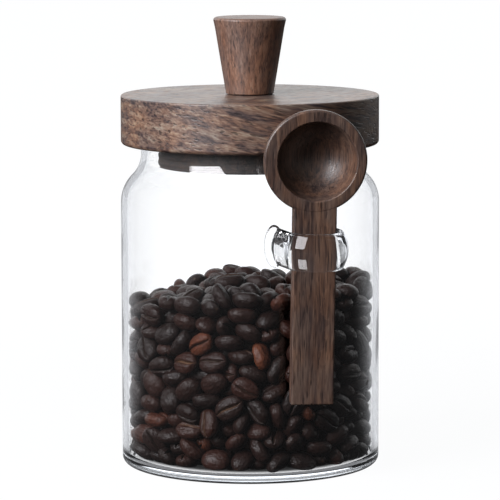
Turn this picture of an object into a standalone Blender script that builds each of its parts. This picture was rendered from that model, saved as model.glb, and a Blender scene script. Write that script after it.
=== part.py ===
"""Glass food canister with a turned wooden lid and a wooden scoop hung in a glass loop.

Units are metres and +Z is up. The origin is the middle of the jar's flat underside.
The scoop hangs on the jar's front, which is the -Y side. A bearing is an angle round
the jar, measured from the front towards +X.
"""
import bmesh
import bpy
from math import acos, cos, hypot, radians, sin, tau
from mathutils import Matrix, Vector

# ---------------------------------------------------------------- driving dimensions
GAP = 0.0003                      # left between pieces that touch or are glued

# jar
BODY_R = 0.050                    # outside radius of the straight wall
WALL = 0.0023
BASE_THICKNESS = 0.0027
HEEL_OUTER_R = 0.003              # rounding between the wall and the underside
HEEL_INNER_R = 0.0032
SHOULDER_FOOT_Z = 0.1023          # the wall starts to draw in here
SHOULDER_FOOT_ARC = 0.0143        # radius of the convex arc at the shoulder's foot
NECK_ARC = 0.0125                 # radius of the concave arc under the neck
NECK_R = 0.0421
RIM_Z = 0.1244
RIM_ROUND = 0.0008

# lid
DISC_R = 0.0499
DISC_THICKNESS = 0.019
DISC_TOP_ROUND = 0.0006
DISC_BOTTOM_ROUND = 0.0015
PLUG_R = 0.0352
PLUG_DEPTH = 0.0090               # from the disc's underside to the plug's underside
PLUG_ROUND = 0.0008

# seal: a thin sleeve with fins round the plug
SLEEVE_THICKNESS = 0.0010
SLEEVE_HEIGHT = 0.0083
FIN_COUNT = 3
FIN_ROOT = 0.0013
FIN_TIP = 0.0006
FIN_CLEARANCE = 0.0004            # between a fin's tip and the glass

# knob and its screw
KNOB_FOOT_R = 0.00925
KNOB_TOP_R = 0.01405
KNOB_HEIGHT = 0.0295
KNOB_ROUND = 0.0012
HEAD_R = 0.0042
HEAD_RIM = 0.0003
HEAD_DEPTH = 0.0030
SHANK_R = 0.0019
CORE_R = 0.0015
THREAD_HEIGHT = 0.0007
THREAD_PITCH = 0.0024
THREAD_LENGTH = 0.0210
SCREW_LENGTH = 0.0445
POINT_LENGTH = 0.0045
SCREW_INSET = 0.0003              # the head lies this far inside the plug
RECESS_WIDTH = 0.0011
RECESS_SPAN = 0.0046
RECESS_DEPTH = 0.0016

# glass loop on the jar's side
LOOP_BEARING = radians(22.84)
LOOP_CENTRE_R = 0.0613            # from the jar's axis to the centre of the loop's curve
LOOP_MID_R = 0.0112               # radius of the band's middle line
LOOP_BAND = 0.0032                # thickness of the band
LOOP_HEIGHT = 0.0141
LOOP_FOOT_Z = 0.0909              # middle of the band at the wall
LOOP_DROOP = 0.0007               # the band's front is this much lower
LOOP_CURVE = radians(90)          # the curve runs this far each way from its front
LOOP_LEG = 0.0142                 # each straight leg, to its end inside the wall's line
FOOT_HEIGHT = 0.0160              # the band spreads to an oval pad at the wall
FOOT_BAND = 0.0072
FOOT_REACH = 0.0017               # thickness of the pad

# scoop
BOWL_CENTRE = Vector((0.02425, -0.0632, 0.12378))   # middle of the rim's plane
SCOOP_TURN = radians(6.0)         # the bowl's mouth is turned towards +X
SCOOP_LEAN = radians(4.5)         # its top leans away from the jar
SCOOP_ROLL = radians(0.38)        # the handle's end swings towards -X
BOWL_R = 0.0193
BOWL_DEPTH = 0.0168
BOWL_EDGE = 0.0009
HOLLOW_R = 0.0148
HOLLOW_DEPTH = 0.0140
HOLLOW_EDGE = 0.0006
HANDLE_WIDTH = 0.01605
HANDLE_SHIFT = 0.00024            # the handle's middle lies this far off the bowl's
HANDLE_THICKNESS = 0.0070
HANDLE_END = 0.0924               # from the bowl's middle to the handle's end
HANDLE_EDGE = 0.0009
HANDLE_STEP = 0.0001              # the handle's face lies this far behind the rim

# coffee beans, as one heap
HEAP_HIGH_Z = 0.0740
HEAP_LOW_Z = 0.0645               # the heap's surface falls towards -X
HEAP_BACK_DROP = 0.0035           # and a little towards the back
HEAP_LUMP = 0.0010

LARGE_STEPS = 64                  # sides of the jar, the disc, the plug and the seal
SMALL_STEPS = 32                  # sides of the knob and the scoop's bowl
SCREW_STEPS = 12

# sizes that follow
INSIDE_R = BODY_R - WALL
NECK_INSIDE_R = NECK_R - WALL
SHOULDER_ARCS = NECK_ARC + SHOULDER_FOOT_ARC
SHOULDER_SLOPE = acos(1.0 - (BODY_R - NECK_R) / SHOULDER_ARCS)
NECK_FOOT_Z = SHOULDER_FOOT_Z + SHOULDER_ARCS * sin(SHOULDER_SLOPE)
LID_Z = RIM_Z + GAP
SCREW_HOLE_R = CORE_R + THREAD_HEIGHT + GAP


# ---------------------------------------------------------------- helpers
def clear_scene():
    for thing in list(bpy.data.objects):
        bpy.data.objects.remove(thing, do_unlink=True)


def material(name, colour, roughness, metallic=0.0, transmission=0.0, ior=1.5):
    made = bpy.data.materials.new(name)
    made.use_nodes = True
    shader = made.node_tree.nodes["Principled BSDF"]
    shader.inputs["Base Color"].default_value = (*colour, 1.0)
    shader.inputs["Roughness"].default_value = roughness
    shader.inputs["Metallic"].default_value = metallic
    shader.inputs["Transmission Weight"].default_value = transmission
    shader.inputs["IOR"].default_value = ior
    made.diffuse_color = (*colour, 1.0)
    return made


def joint_empty(name, location):
    """An empty on a joint's axis, which carries the pieces that move with it."""
    empty = bpy.data.objects.new(name, None)
    empty.empty_display_size = 0.01
    empty.location = location
    bpy.context.collection.objects.link(empty)
    return empty


def make_object(name, shape, finish=None, parent=None, location=(0.0, 0.0, 0.0)):
    """Turn a bmesh into a named, smooth-shaded object, placed in its parent's frame."""
    bmesh.ops.recalc_face_normals(shape, faces=shape.faces)
    mesh = bpy.data.meshes.new(name)
    shape.to_mesh(mesh)
    shape.free()
    mesh.shade_smooth()
    mesh.set_sharp_from_angle(angle=radians(35))
    if finish:
        mesh.materials.append(finish)
    thing = bpy.data.objects.new(name, mesh)
    bpy.context.collection.objects.link(thing)
    thing.parent = parent
    thing.location = location
    return thing


def boolean(thing, other, operation):
    """Add an exact Boolean; the other object is only a guide from then on."""
    change = thing.modifiers.new(operation.title(), "BOOLEAN")
    change.operation = operation
    change.solver = "EXACT"
    change.object = other
    other.hide_render = True
    other.display_type = "WIRE"


def arc(centre, radius, start, end, steps):
    """Points (r, z) along an arc; angles are in radians from the +r direction."""
    angles = [start + (end - start) * i / steps for i in range(steps + 1)]
    return [(centre[0] + radius * cos(a), centre[1] + radius * sin(a)) for a in angles]


def turned(outline, steps, ring=False):
    """Spin an outline of (r, z) points about Z; a ring's outline closes on itself."""
    points = [p for p, q in zip(outline, outline[1:] + [(-1.0, 0.0)])
              if hypot(p[0] - q[0], p[1] - q[1]) > 1e-7]
    shape = bmesh.new()
    verts = [shape.verts.new((r, 0.0, z)) for r, z in points]
    edges = [shape.edges.new(pair) for pair in zip(verts, verts[1:])]
    if ring:
        edges.append(shape.edges.new((verts[-1], verts[0])))
    bmesh.ops.spin(shape, geom=verts + edges, cent=(0, 0, 0), axis=(0, 0, 1),
                   angle=tau, steps=steps, use_merge=True)
    bmesh.ops.remove_doubles(shape, verts=shape.verts, dist=1e-6)
    return shape


def skinned(rows):
    """Join closed rows of points into a tube; a row of one point is a pole."""
    shape = bmesh.new()
    rings = [[shape.verts.new(point) for point in row] for row in rows]
    for low, high in zip(rings, rings[1:]):
        count = max(len(low), len(high))
        for i in range(count):
            j = (i + 1) % count
            corners = [low[i % len(low)], low[j % len(low)],
                       high[j % len(high)], high[i % len(high)]]
            shape.faces.new(list(dict.fromkeys(corners)))
    for ring in (rings[0], rings[-1]):
        if len(ring) > 1:
            shape.faces.new(ring)
    return shape


def box(low, high):
    """A box between two corners."""
    shape = bmesh.new()
    bmesh.ops.create_cube(shape, size=1.0)
    size = [b - a for a, b in zip(low, high)]
    middle = [(a + b) / 2 for a, b in zip(low, high)]
    bmesh.ops.scale(shape, vec=size, verts=shape.verts)
    bmesh.ops.translate(shape, vec=middle, verts=shape.verts)
    return shape


# ---------------------------------------------------------------- jar
def jar_outline():
    """From the middle of the floor, up the inside, over the rim and down the outside."""
    floor = BASE_THICKNESS
    right, up = 0.0, radians(90)
    left, down = radians(180), radians(-90)
    foot_centre = (BODY_R - SHOULDER_FOOT_ARC, SHOULDER_FOOT_Z)
    neck_centre = (NECK_R + NECK_ARC, NECK_FOOT_Z)
    rim_z = RIM_Z - RIM_ROUND
    points = [(0.0, floor)]
    points += arc((INSIDE_R - HEEL_INNER_R, floor + HEEL_INNER_R), HEEL_INNER_R,
                  down, right, 4)
    points += arc(foot_centre, SHOULDER_FOOT_ARC - WALL, right, SHOULDER_SLOPE, 4)
    points += arc(neck_centre, NECK_ARC + WALL, left + SHOULDER_SLOPE, left, 4)
    points += arc((NECK_INSIDE_R + RIM_ROUND, rim_z), RIM_ROUND, left, up, 2)
    points += arc((NECK_R - RIM_ROUND, rim_z), RIM_ROUND, up, right, 2)
    points += arc(neck_centre, NECK_ARC, left, left + SHOULDER_SLOPE, 4)
    points += arc(foot_centre, SHOULDER_FOOT_ARC, SHOULDER_SLOPE, right, 4)
    points += arc((BODY_R - HEEL_OUTER_R, HEEL_OUTER_R), HEEL_OUTER_R, right, down, 3)
    return points + [(0.0, 0.0)]


def make_jar(glass):
    make_object("glass_jar", turned(jar_outline(), LARGE_STEPS), glass)


def loop_path():
    """Points (outward, sideways) of the band's middle line, from foot to foot."""
    curve_steps, leg_steps = 18, 16
    reach = []
    for i in range(curve_steps + 1):
        angle = LOOP_CURVE * (2 * i / curve_steps - 1)
        reach.append(Vector((LOOP_CENTRE_R + LOOP_MID_R * cos(angle),
                             LOOP_MID_R * sin(angle))))
    inward = Vector((-sin(LOOP_CURVE), cos(LOOP_CURVE)))
    steps = [LOOP_LEG * (1.0 - (1.0 - i / leg_steps) ** 1.6)
             for i in range(1, leg_steps + 1)]
    last_leg = [reach[-1] + inward * step for step in steps]
    first_leg = [Vector((p.x, -p.y)) for p in reversed(last_leg)]
    return first_leg + reach + last_leg


def band_height(point):
    """Height of the band's middle line, which droops away from the wall."""
    reach = LOOP_CENTRE_R + LOOP_MID_R - BODY_R
    return LOOP_FOOT_Z - LOOP_DROOP * (point.x - BODY_R) / reach


def foot_share(plan):
    """How far the band has spread into its pad at a place, from 0 to 1."""
    clear = min(max((plan.length - BODY_R) / FOOT_REACH, 0.0), 1.0)
    return (1.0 - clear * clear) ** 0.5


def band_section(point, along):
    """A rounded rectangle across the band, which turns into the pad's oval."""
    across = Vector((along.y, -along.x))
    outward = Vector((sin(LOOP_BEARING), -cos(LOOP_BEARING)))
    sideways = Vector((cos(LOOP_BEARING), sin(LOOP_BEARING)))
    corner = 0.45 * LOOP_BAND
    row = []
    for quarter, (sx, sz) in enumerate(((1, 1), (-1, 1), (-1, -1), (1, -1))):
        for step in range(5):
            angle = radians(90 * quarter + 22.5 * step)
            offset = sx * (LOOP_BAND / 2 - corner) + corner * cos(angle)
            rise = sz * (LOOP_HEIGHT / 2 - corner) + corner * sin(angle)
            oval = radians(90 * quarter + 18 * step + 9)
            wide, tall = FOOT_BAND / 2 * cos(oval), FOOT_HEIGHT / 2 * sin(oval)
            share = foot_share(point + across * wide)
            offset += share * (wide - offset)
            rise += share * (tall - rise)
            plan = point + across * offset
            flat = outward * plan.x + sideways * plan.y
            row.append((flat.x, flat.y, band_height(point) + rise))
    return row


def make_loop(glass):
    """The band with a pad at both feet, cut back to the round of the jar's wall."""
    path = loop_path()
    rows = []
    for i, point in enumerate(path):
        before, after = path[max(i - 1, 0)], path[min(i + 1, len(path) - 1)]
        rows.append(band_section(point, (after - before).normalized()))
    loop = make_object("scoop_loop", skinned(rows), glass)
    low, high = LOOP_FOOT_Z - FOOT_HEIGHT, LOOP_FOOT_Z + FOOT_HEIGHT
    cut_r = BODY_R + GAP
    wall = turned([(0.0, high), (cut_r, high), (cut_r, low), (0.0, low)], LARGE_STEPS)
    boolean(loop, make_object("loop_wall_cutter", wall), "DIFFERENCE")


# ---------------------------------------------------------------- lid
def make_disc(lid, wood):
    outline = [(SCREW_HOLE_R, DISC_THICKNESS)]
    outline += arc((DISC_R - DISC_TOP_ROUND, DISC_THICKNESS - DISC_TOP_ROUND),
                   DISC_TOP_ROUND, radians(90), 0.0, 2)
    outline += arc((DISC_R - DISC_BOTTOM_ROUND, DISC_BOTTOM_ROUND),
                   DISC_BOTTOM_ROUND, 0.0, radians(-90), 3)
    outline += [(SCREW_HOLE_R, 0.0)]
    make_object("lid_disc", turned(outline, LARGE_STEPS, ring=True), wood, lid)


def make_plug(lid, wood):
    """The plug's underside has a countersink for the screw's head."""
    top = PLUG_DEPTH - GAP
    sink_r = HEAD_R + GAP
    sink_depth = SCREW_INSET + HEAD_RIM + GAP
    sink_end = sink_depth + HEAD_DEPTH - HEAD_RIM
    outline = [(SCREW_HOLE_R, top)]
    outline += arc((PLUG_R - PLUG_ROUND, top - PLUG_ROUND), PLUG_ROUND,
                   radians(90), 0.0, 1)
    outline += arc((PLUG_R - PLUG_ROUND, PLUG_ROUND), PLUG_ROUND, 0.0, radians(-90), 2)
    outline += [(sink_r, 0.0), (sink_r, sink_depth), (SCREW_HOLE_R, sink_end)]
    make_object("lid_plug", turned(outline, LARGE_STEPS, ring=True), wood, lid,
                (0.0, 0.0, -PLUG_DEPTH))


def make_seal(lid, silicone):
    """Up the sleeve's inside and down its outside, out and back round each fin."""
    inner = PLUG_R + GAP
    outer = inner + SLEEVE_THICKNESS
    tip = NECK_INSIDE_R - FIN_CLEARANCE
    pitch = SLEEVE_HEIGHT / FIN_COUNT
    outline = [(inner, 0.0), (inner, SLEEVE_HEIGHT), (outer, SLEEVE_HEIGHT)]
    for i in range(FIN_COUNT):
        middle = SLEEVE_HEIGHT - pitch * (i + 0.5)
        outline += [(outer, middle + FIN_ROOT / 2), (tip, middle + FIN_TIP / 2),
                    (tip, middle - FIN_TIP / 2), (outer, middle - FIN_ROOT / 2)]
    outline += [(outer, 0.0)]
    base = (PLUG_DEPTH - GAP - SLEEVE_HEIGHT) / 2 - PLUG_DEPTH
    make_object("seal_ring", turned(outline, LARGE_STEPS, ring=True), silicone, lid,
                (0.0, 0.0, base))


def make_knob(lid, wood):
    """A cone that widens upwards, with a blind hole for the screw."""
    hole_depth = screw_top() - DISC_THICKNESS
    slope = (KNOB_TOP_R - KNOB_FOOT_R) / KNOB_HEIGHT
    edge_z = KNOB_HEIGHT - KNOB_ROUND
    outline = [(0.0, KNOB_HEIGHT)]
    outline += arc((KNOB_TOP_R - KNOB_ROUND, edge_z), KNOB_ROUND, radians(90), 0.0, 3)
    outline += [(KNOB_TOP_R - slope * edge_z, 0.0002), (KNOB_FOOT_R - 0.0002, 0.0)]
    outline += [(SCREW_HOLE_R, 0.0), (SCREW_HOLE_R, hole_depth), (0.0, hole_depth)]
    make_object("knob", turned(outline, SMALL_STEPS), wood, lid,
                (0.0, 0.0, DISC_THICKNESS + GAP))


def screw_top():
    """Height of the screw's point above the disc's underside."""
    return SCREW_LENGTH + SCREW_INSET - PLUG_DEPTH


def screw_radius(z, angle):
    """Radius of the threaded part at a height and an angle round the screw."""
    turn = (z / THREAD_PITCH - angle / tau) % 1.0
    ridge = max(0.0, 1.0 - abs(turn - 0.5) / 0.3)
    taper = min(1.0, (SCREW_LENGTH - z) / POINT_LENGTH)
    return taper * (CORE_R + THREAD_HEIGHT * ridge)


def make_screw(lid, steel):
    """A countersunk wood screw, from its head up to its point."""
    angles = [tau * i / SCREW_STEPS for i in range(SCREW_STEPS)]
    thread_start = SCREW_LENGTH - THREAD_LENGTH
    thread_rows = int(5 * THREAD_LENGTH / THREAD_PITCH)
    rows = []
    for z, r in ((0.0, HEAD_R), (HEAD_RIM, HEAD_R), (HEAD_DEPTH, SHANK_R),
                 (thread_start - GAP, SHANK_R)):
        rows.append([(r * cos(a), r * sin(a), z) for a in angles])
    for i in range(thread_rows):
        z = thread_start + THREAD_LENGTH * i / thread_rows
        radii = [screw_radius(z, a) for a in angles]
        rows.append([(r * cos(a), r * sin(a), z) for r, a in zip(radii, angles)])
    rows.append([(0.0, 0.0, SCREW_LENGTH)])
    base = SCREW_INSET - PLUG_DEPTH
    screw = make_object("knob_screw", skinned(rows), steel, lid, (0.0, 0.0, base))
    half_span, half_width = RECESS_SPAN / 2, RECESS_WIDTH / 2
    for name, x, y in (("recess_cutter_x", half_span, half_width),
                       ("recess_cutter_y", half_width, half_span)):
        slot = box((-x, -y, -RECESS_DEPTH), (x, y, RECESS_DEPTH))
        boolean(screw, make_object(name, slot, None, lid, (0.0, 0.0, base)), "DIFFERENCE")


# ---------------------------------------------------------------- scoop
def scoop_axes():
    """The scoop's unit vectors: its width, its depth into the bowl and its length."""
    facing = Vector((sin(SCOOP_TURN), -cos(SCOOP_TURN), 0.0))
    across = Vector((cos(SCOOP_TURN), sin(SCOOP_TURN), 0.0))
    upright = Vector((0.0, 0.0, 1.0))
    leaning = upright * cos(SCOOP_LEAN) + facing * sin(SCOOP_LEAN)
    length = leaning * cos(SCOOP_ROLL) + across * sin(SCOOP_ROLL)
    width = across * cos(SCOOP_ROLL) - leaning * sin(SCOOP_ROLL)
    return width, length.cross(width), length


def bowl_shape(outline, steps):
    """Turn an outline of (radius, depth) points about the scoop's depth axis."""
    shape = turned(outline, steps)
    bmesh.ops.rotate(shape, cent=(0, 0, 0), verts=shape.verts,
                     matrix=Matrix.Rotation(radians(-90), 3, "X"))
    return shape


def bowl_curve(radius, start_depth, depth, steps):
    """A quarter ellipse from the wall, start_depth below the rim, to the bottom."""
    angles = [radians(90) * i / steps for i in range(steps)]
    points = [(radius * cos(a), start_depth + (depth - start_depth) * sin(a))
              for a in angles]
    return points + [(0.0, depth)]


def make_scoop(hanger, wood):
    """Bowl and handle in one piece, built round the middle of the rim."""
    width, depth, length = scoop_axes()
    outside = [(0.0, 0.0), (BOWL_R - BOWL_EDGE, 0.0)]
    outside += bowl_curve(BOWL_R, BOWL_EDGE, BOWL_DEPTH, 9)
    scoop = make_object("scoop", bowl_shape(outside, SMALL_STEPS), wood, hanger)

    handle_top = -0.8 * HOLLOW_R
    left, right = HANDLE_SHIFT - HANDLE_WIDTH / 2, HANDLE_SHIFT + HANDLE_WIDTH / 2
    handle = box((left, HANDLE_STEP, -HANDLE_END), (right, HANDLE_THICKNESS, handle_top))
    bmesh.ops.bevel(handle, geom=handle.edges, offset=HANDLE_EDGE, segments=2,
                    profile=0.5, affect="EDGES")
    boolean(scoop, make_object("handle_guide", handle, None, scoop), "UNION")

    above_rim = -0.002
    inside = [(0.0, above_rim), (HOLLOW_R + HOLLOW_EDGE - above_rim, above_rim)]
    inside += bowl_curve(HOLLOW_R, HOLLOW_EDGE, HOLLOW_DEPTH, 7)
    hollow = bowl_shape(inside, SMALL_STEPS)
    boolean(scoop, make_object("hollow_cutter", hollow, None, scoop), "DIFFERENCE")

    turn = Matrix((width, depth, length)).transposed().to_4x4()
    scoop.matrix_basis = turn
    hanger.location = BOWL_CENTRE


# ---------------------------------------------------------------- coffee
def heap_height(x, y):
    """Height of the beans' surface over a point of the jar's floor."""
    share = min(max((x + INSIDE_R) / (0.85 * INSIDE_R), 0.0), 1.0)
    slope = share * share * (3 - 2 * share)
    lumps = sin(620 * x + 1.0) * cos(540 * y) + 0.6 * sin(1010 * y + 840 * x + 2.0)
    level = HEAP_LOW_Z + (HEAP_HIGH_Z - HEAP_LOW_Z) * slope
    return level - HEAP_BACK_DROP * max(y, 0.0) / INSIDE_R + HEAP_LUMP * lumps / 1.6


def make_heap(coffee):
    """From the middle of the surface out to the wall, then down to the floor."""
    steps = 40
    heap_r = INSIDE_R - GAP
    heel = HEEL_INNER_R - GAP
    floor = BASE_THICKNESS + GAP
    angles = [tau * i / steps for i in range(steps)]
    rows = [[(0.0, 0.0, heap_height(0.0, 0.0))]]
    for share in (0.2, 0.4, 0.6, 0.8, 0.93, 1.0):
        r = share * heap_r
        drop = 0.0015 if share == 1.0 else 0.0
        places = [(r * cos(a), r * sin(a)) for a in angles]
        rows.append([(x, y, heap_height(x, y) - drop) for x, y in places])
    for r, z in arc((heap_r - heel, floor + heel), heel, 0.0, radians(-90), 3):
        rows.append([(r * cos(a), r * sin(a), z) for a in angles])
    make_object("coffee_beans", skinned(rows), coffee)


# ---------------------------------------------------------------- assembly
def main():
    clear_scene()
    glass = material("glass", (0.92, 0.95, 0.97), 0.02, transmission=1.0, ior=1.47)
    disc_wood = material("disc_wood", (0.17, 0.095, 0.06), 0.55)
    plug_wood = material("plug_wood", (0.10, 0.065, 0.05), 0.6)
    knob_wood = material("knob_wood", (0.20, 0.12, 0.085), 0.55)
    scoop_wood = material("scoop_wood", (0.115, 0.062, 0.042), 0.6)
    silicone = material("silicone", (0.88, 0.90, 0.92), 0.25, transmission=0.8, ior=1.41)
    steel = material("steel", (0.62, 0.62, 0.63), 0.3, metallic=1.0)
    coffee = material("coffee", (0.022, 0.012, 0.009), 0.4)

    lid = joint_empty("lid_lift", (0.0, 0.0, LID_Z))
    hanger = joint_empty("scoop_lift", (0.0, 0.0, 0.0))
    make_jar(glass)
    make_loop(glass)
    make_disc(lid, disc_wood)
    make_plug(lid, plug_wood)
    make_seal(lid, silicone)
    make_knob(lid, knob_wood)
    make_screw(lid, steel)
    make_scoop(hanger, scoop_wood)
    make_heap(coffee)
    bpy.context.view_layer.update()


main()
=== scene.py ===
"""Looks of the glass food canister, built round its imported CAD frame.

Units are metres and +Z is up. The jar's glass and its loop become one blown piece, the
turned wood, the seal and the scoop are rebuilt finely, and the beans are poured by a
rigid-body simulation. The steel screw is the CAD node itself.
"""
import random
from math import acos, cos, hypot, pi, radians, sin, tau

import bmesh
import bpy
import numpy as np
from mathutils import Matrix, Vector


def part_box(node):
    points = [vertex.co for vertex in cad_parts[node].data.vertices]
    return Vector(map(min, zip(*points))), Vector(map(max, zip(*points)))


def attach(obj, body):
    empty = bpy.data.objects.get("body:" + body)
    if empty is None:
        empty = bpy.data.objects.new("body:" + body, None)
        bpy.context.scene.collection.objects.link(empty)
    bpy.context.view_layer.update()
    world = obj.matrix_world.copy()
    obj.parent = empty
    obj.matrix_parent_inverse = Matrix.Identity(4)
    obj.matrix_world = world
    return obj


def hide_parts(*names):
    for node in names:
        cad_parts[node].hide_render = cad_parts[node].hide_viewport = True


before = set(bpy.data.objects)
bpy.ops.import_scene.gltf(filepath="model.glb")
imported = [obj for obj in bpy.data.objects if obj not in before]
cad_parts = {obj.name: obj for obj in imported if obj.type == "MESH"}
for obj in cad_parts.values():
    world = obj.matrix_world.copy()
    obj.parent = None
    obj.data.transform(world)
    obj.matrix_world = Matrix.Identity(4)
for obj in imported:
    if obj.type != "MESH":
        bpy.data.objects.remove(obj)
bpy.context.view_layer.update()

# ---------- sizes from the frame
GAP = 0.0003                # left between pieces that touch
jar_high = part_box("glass_jar")[1]
beans_low, beans_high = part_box("coffee_beans")
disc_low, disc_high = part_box("lid_disc")
plug_low, plug_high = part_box("lid_plug")
seal_low, seal_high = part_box("seal_ring")
knob_low, knob_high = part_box("knob")

BODY_R = jar_high.x
RIM_Z = jar_high.z
INSIDE_R = beans_high.x + GAP
WALL = BODY_R - INSIDE_R
BASE_THICKNESS = beans_low.z - GAP
DISC_R = disc_high.x
PLUG_R = plug_high.x
SEAL_R = seal_high.x
KNOB_TOP_R = knob_high.x

# ---------- sizes that CAD shares
# The frame gives no more than boxes, so these repeat the CAD source's own numbers.
HEEL_OUTER_R = 0.003
HEEL_INNER_R = 0.0032
SHOULDER_FOOT_Z = 0.1023
SHOULDER_FOOT_ARC = 0.0143
NECK_ARC = 0.0125
NECK_R = 0.0421
RIM_ROUND = 0.0008
DISC_TOP_ROUND = 0.0006
DISC_BOTTOM_ROUND = 0.0015
PLUG_ROUND = 0.0008
SLEEVE_THICKNESS = 0.0010
FIN_COUNT = 3
FIN_ROOT = 0.0013
FIN_TIP = 0.0006
KNOB_FOOT_R = 0.00925
KNOB_ROUND = 0.0012
KNOB_EASE = 0.0003          # the edge round its foot
SCREW_HOLE_R = 0.0025
SINK_R = 0.0045             # the screw's head sinks into the plug from below
SINK_EASE = 0.0002
SINK_DEPTH = 0.0009
SINK_END = 0.0036
HOLE_TOP_Z = 0.1606         # the knob's blind hole ends here

LOOP_BEARING = radians(22.84)
LOOP_CENTRE_R = 0.0613      # from the jar's axis to the centre of the loop's curve
LOOP_MID_R = 0.0112         # radius of the band's middle line
LOOP_BAND = 0.00316         # a hair thinner than CAD's coarser band, to keep in its box
LOOP_BULGE = 0.0019         # the band's outer face falls back this far at its edges
LOOP_HEIGHT = 0.0141
LOOP_FOOT_Z = 0.0909        # middle of the band at the wall
LOOP_DROOP = 0.0007         # the band's front is this much lower
LOOP_CURVE = radians(90)    # the curve runs this far each way from its front
LOOP_LEG = 0.0142           # each straight leg, to its end inside the wall
FOOT_HEIGHT = 0.0160        # the band spreads to an oval pad at the wall
FOOT_BAND = 0.0072
BEAD_MIDDLE = 0.0010        # the pad is widest this far off the wall
BEAD_HALF = 0.0017          # and tapers off this far to either side

BOWL_CENTRE = Vector((0.02425, -0.0632, 0.12378))  # middle of the bowl's rim
SCOOP_TURN = radians(6.0)
SCOOP_LEAN = radians(4.5)
SCOOP_ROLL = radians(0.38)
BOWL_R = 0.0193
BOWL_DEPTH = 0.0168
BOWL_EDGE = 0.0009
HOLLOW_R = 0.0148
HOLLOW_SHIFT = 0.0007       # the hollow is turned a little off the bowl's middle
HOLLOW_DEPTH = 0.0140
HOLLOW_EDGE = 0.0005
HANDLE_WIDTH = 0.01605
HANDLE_SHIFT = 0.00024      # the handle is a little off the bowl's middle too
HANDLE_THICKNESS = 0.0070
HANDLE_END = 0.0924
HANDLE_EDGE = 0.0006
HANDLE_STEP = 0.0001        # its face lies this far behind the rim

HEAP_HIGH_Z = 0.0740        # the beans' surface rises from -X to this height
HEAP_LOW_Z = 0.0645
HEAP_RISE = 0.85            # within this share of the jar's inside radius
HEAP_BACK_DROP = 0.0035

SHOULDER_SLOPE = acos(1.0 - (BODY_R - NECK_R) / (NECK_ARC + SHOULDER_FOOT_ARC))
NECK_FOOT_Z = SHOULDER_FOOT_Z + (NECK_ARC + SHOULDER_FOOT_ARC) * sin(SHOULDER_SLOPE)

# ---------- beans
BEAN_COUNT = 760
BEAN_KINDS = 9
BEAN_HALF = (0.0059, 0.0044)  # half length and half width
BEAN_BACK = 0.0036          # height of the round back over the widest line
BEAN_BELLY = 0.0023         # and depth of the flat belly under it
POUR_SCALE = 100.0          # the pour is simulated at this scale, where it is stable
POUR_FRAMES = 60
POUR_GRAVITY = 25.0
CORE_R = 0.033              # a plain core fills the middle, where no bean shows
CORE_TOP = 0.054
CORE_FLAT = 0.6             # its top is level out to this share of its radius
CORE_SIDE = 0.8             # and its side stands to this share of its height
SHOWN_SINK = 0.0018         # a shown bean's middle is at least this far under the surface
SHOWN_DEPTH = 0.017         # and no deeper than this, unless it is near the glass
SHOWN_R = 0.034
STRAY_BEAN = Vector((-0.0403, 0.0, 0.0661))  # the bean nearest here is always shown
TURNED_OVER = 0.45          # share of the backs facing out that show a crease instead
PALE_OVER = 0.93            # beans whose second draw is over this are pale
CHAFF_UNDER = 0.22          # and those under this have chaff in their crease
PIECE_TRIANGLES = 190000    # a piece of beans has no more than these

# ---------- fineness of the meshes
GLASS_SIDES = 288
TURNED_SIDES = 160
BOWL_SIDES = 112
KNOB_SIDES = 96

# ---------- studio
BEHIND = (0.25, 0.85)       # a direction's share of +Y, from beside to behind
WORLD_ONCE = 0.34           # what a first reflection in the glass shows behind
FLOOR_ONCE = 0.48


# ---------- mesh helpers
def new_object(name, mesh):
    """An object in the scene, round a mesh, camera or lamp."""
    thing = bpy.data.objects.new(name, mesh)
    bpy.context.scene.collection.objects.link(thing)
    return thing


def object_from(name, shape, sharp=radians(35)):
    """Turn a bmesh into an object, smooth except over edges sharper than an angle."""
    bmesh.ops.recalc_face_normals(shape, faces=shape.faces)
    mesh = bpy.data.meshes.new(name)
    shape.to_mesh(mesh)
    shape.free()
    mesh.shade_smooth()
    mesh.set_sharp_from_angle(angle=sharp)
    return new_object(name, mesh)


def combined(thing, other, operation):
    """Apply an exact Boolean with another object, which is used up."""
    change = thing.modifiers.new(operation.title(), "BOOLEAN")
    change.operation = operation
    change.solver = "EXACT"
    change.object = other
    graph = bpy.context.evaluated_depsgraph_get()
    made = bpy.data.meshes.new_from_object(thing.evaluated_get(graph))
    thing.modifiers.clear()
    thing.data = made
    bpy.data.objects.remove(other, do_unlink=True)
    return thing


def steady_normals(thing):
    """Large flat faces set the normals, so that small rounds don't bend them."""
    weigh = thing.modifiers.new("Steady normals", "WEIGHTED_NORMAL")
    weigh.keep_sharp = True
    return thing


def refinished(thing, sharp, material):
    """Shade a piece anew after its Booleans and give it its only material."""
    thing.data.shade_smooth()
    thing.data.set_sharp_from_angle(angle=sharp)
    thing.data.materials.clear()
    thing.data.materials.append(material)
    return steady_normals(thing)


def arc(centre, radius, start, end, steps):
    """Points (r, z) along an arc; angles are in radians from the +r direction."""
    angles = [start + (end - start) * i / steps for i in range(steps + 1)]
    return [(centre[0] + radius * cos(a), centre[1] + radius * sin(a)) for a in angles]


def run(start, end, steps):
    """Points between two places, without the places themselves."""
    return [(start[0] + (end[0] - start[0]) * i / steps,
             start[1] + (end[1] - start[1]) * i / steps) for i in range(1, steps)]


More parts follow.
